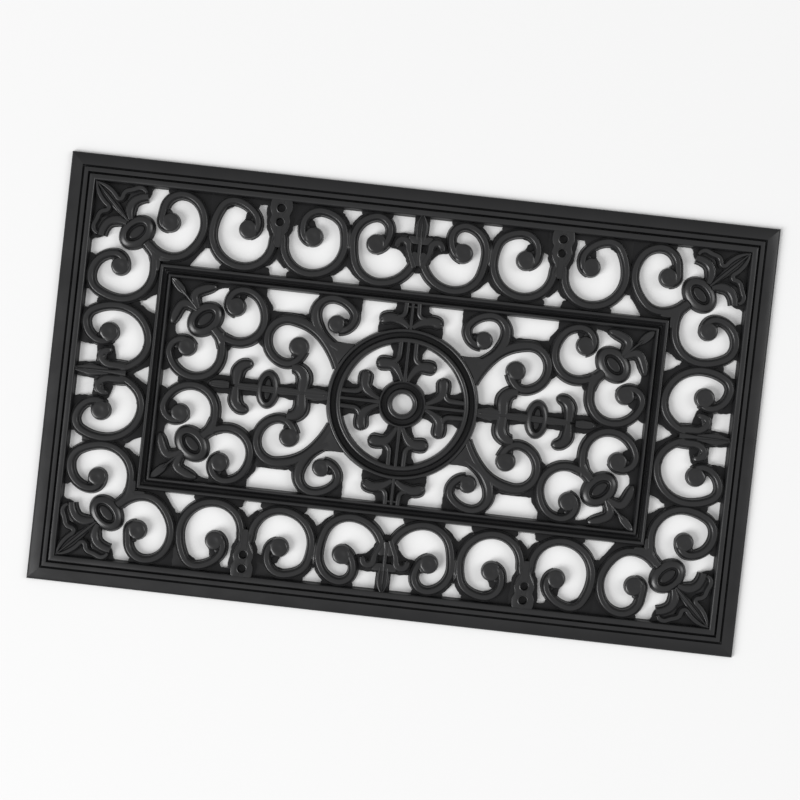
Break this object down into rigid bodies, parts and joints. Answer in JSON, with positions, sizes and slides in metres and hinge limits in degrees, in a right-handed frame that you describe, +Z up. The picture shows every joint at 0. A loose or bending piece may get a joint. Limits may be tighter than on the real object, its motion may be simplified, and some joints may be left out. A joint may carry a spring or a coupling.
{
  "type": "rubber scrollwork doormat",
  "caption": "Flat rectangular openwork doormat of moulded black rubber, with scrolls, clasps and fleurs between two moulded frames and a round medallion in the middle.",
  "frame": {"origin": "centre of the underside, on the floor", "axes": "+Z up out of the floor, X along the mat's long side, Y along its short side"},
  "size_m": [0.76, 0.46, 0.009],
  "materials": {
    "rubber": "matt moulded, slightly worn"
  },
  "bodies": {
    "root": {"back_left_centre_scroll": "rubber", "back_left_clasp": "rubber", "back_left_clasp_scroll_inner": "rubber", "back_left_clasp_scroll_outer": "rubber", "back_left_corner_fleur": "rubber", "back_left_corner_scroll_long": "rubber", "back_left_corner_scroll_short": "rubber", "back_left_panel_branch": "rubber", "back_left_panel_spray": "rubber", "back_left_side_scroll": "rubber", "back_right_centre_scroll": "rubber", "back_right_clasp": "rubber", "back_right_clasp_scroll_inner": "rubber", "back_right_clasp_scroll_outer": "rubber", "back_right_corner_fleur": "rubber", "back_right_corner_scroll_long": "rubber", "back_right_corner_scroll_short": "rubber", "back_right_panel_branch": "rubber", "back_right_panel_spray": "rubber", "back_right_side_scroll": "rubber", "border_fleur_back": "rubber", "border_fleur_front": "rubber", "border_fleur_left": "rubber", "border_fleur_right": "rubber", "border_rail_back": "rubber", "border_rail_front": "rubber", "border_rail_left": "rubber", "border_rail_right": "rubber", "cross_motif_left": "rubber", "cross_motif_right": "rubber", "front_left_centre_scroll": "rubber", "front_left_clasp": "rubber", "front_left_clasp_scroll_inner": "rubber", "front_left_clasp_scroll_outer": "rubber", "front_left_corner_fleur": "rubber", "front_left_corner_scroll_long": "rubber", "front_left_corner_scroll_short": "rubber", "front_left_panel_branch": "rubber", "front_left_panel_spray": "rubber", "front_left_side_scroll": "rubber", "front_right_centre_scroll": "rubber", "front_right_clasp": "rubber", "front_right_clasp_scroll_inner": "rubber", "front_right_clasp_scroll_outer": "rubber", "front_right_corner_fleur": "rubber", "front_right_corner_scroll_long": "rubber", "front_right_corner_scroll_short": "rubber", "front_right_panel_branch": "rubber", "front_right_panel_spray": "rubber", "front_right_side_scroll": "rubber", "medallion_hub": "rubber", "medallion_palmettes": "rubber", "medallion_ring": "rubber", "palmette_back": "rubber", "palmette_front": "rubber", "panel_rail_back": "rubber", "panel_rail_front": "rubber", "panel_rail_left": "rubber", "panel_rail_right": "rubber"}
  },
  "joints": []
}
